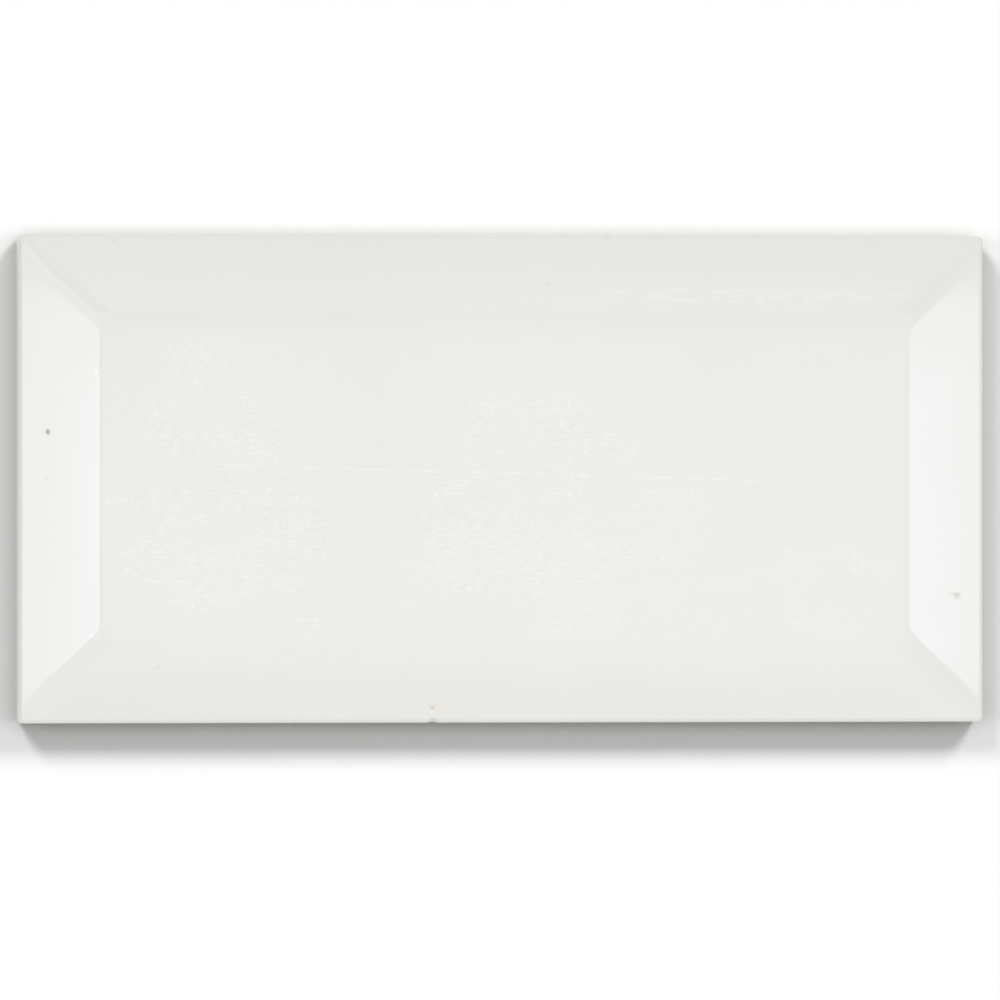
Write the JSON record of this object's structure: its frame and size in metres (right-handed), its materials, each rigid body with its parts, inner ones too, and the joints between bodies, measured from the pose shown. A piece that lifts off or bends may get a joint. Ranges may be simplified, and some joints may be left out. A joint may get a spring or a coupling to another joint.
{
  "type": "subway wall tile",
  "caption": "Oblong glazed ceramic wall tile with a flat field, wide bevelled edges mitred at the corners, an off-white gloss face and a grooved back for adhesive.",
  "frame": {"origin": "centre of the back, on the plane that beds against the wall", "axes": "+X along the length, +Y across the width, +Z out of the glazed face"},
  "size_m": [0.15, 0.075, 0.008],
  "materials": {
    "ceramic": "gloss off-white glaze on the face, bare cream biscuit on the back"
  },
  "bodies": {
    "root": {"tile": "ceramic"}
  },
  "joints": []
}
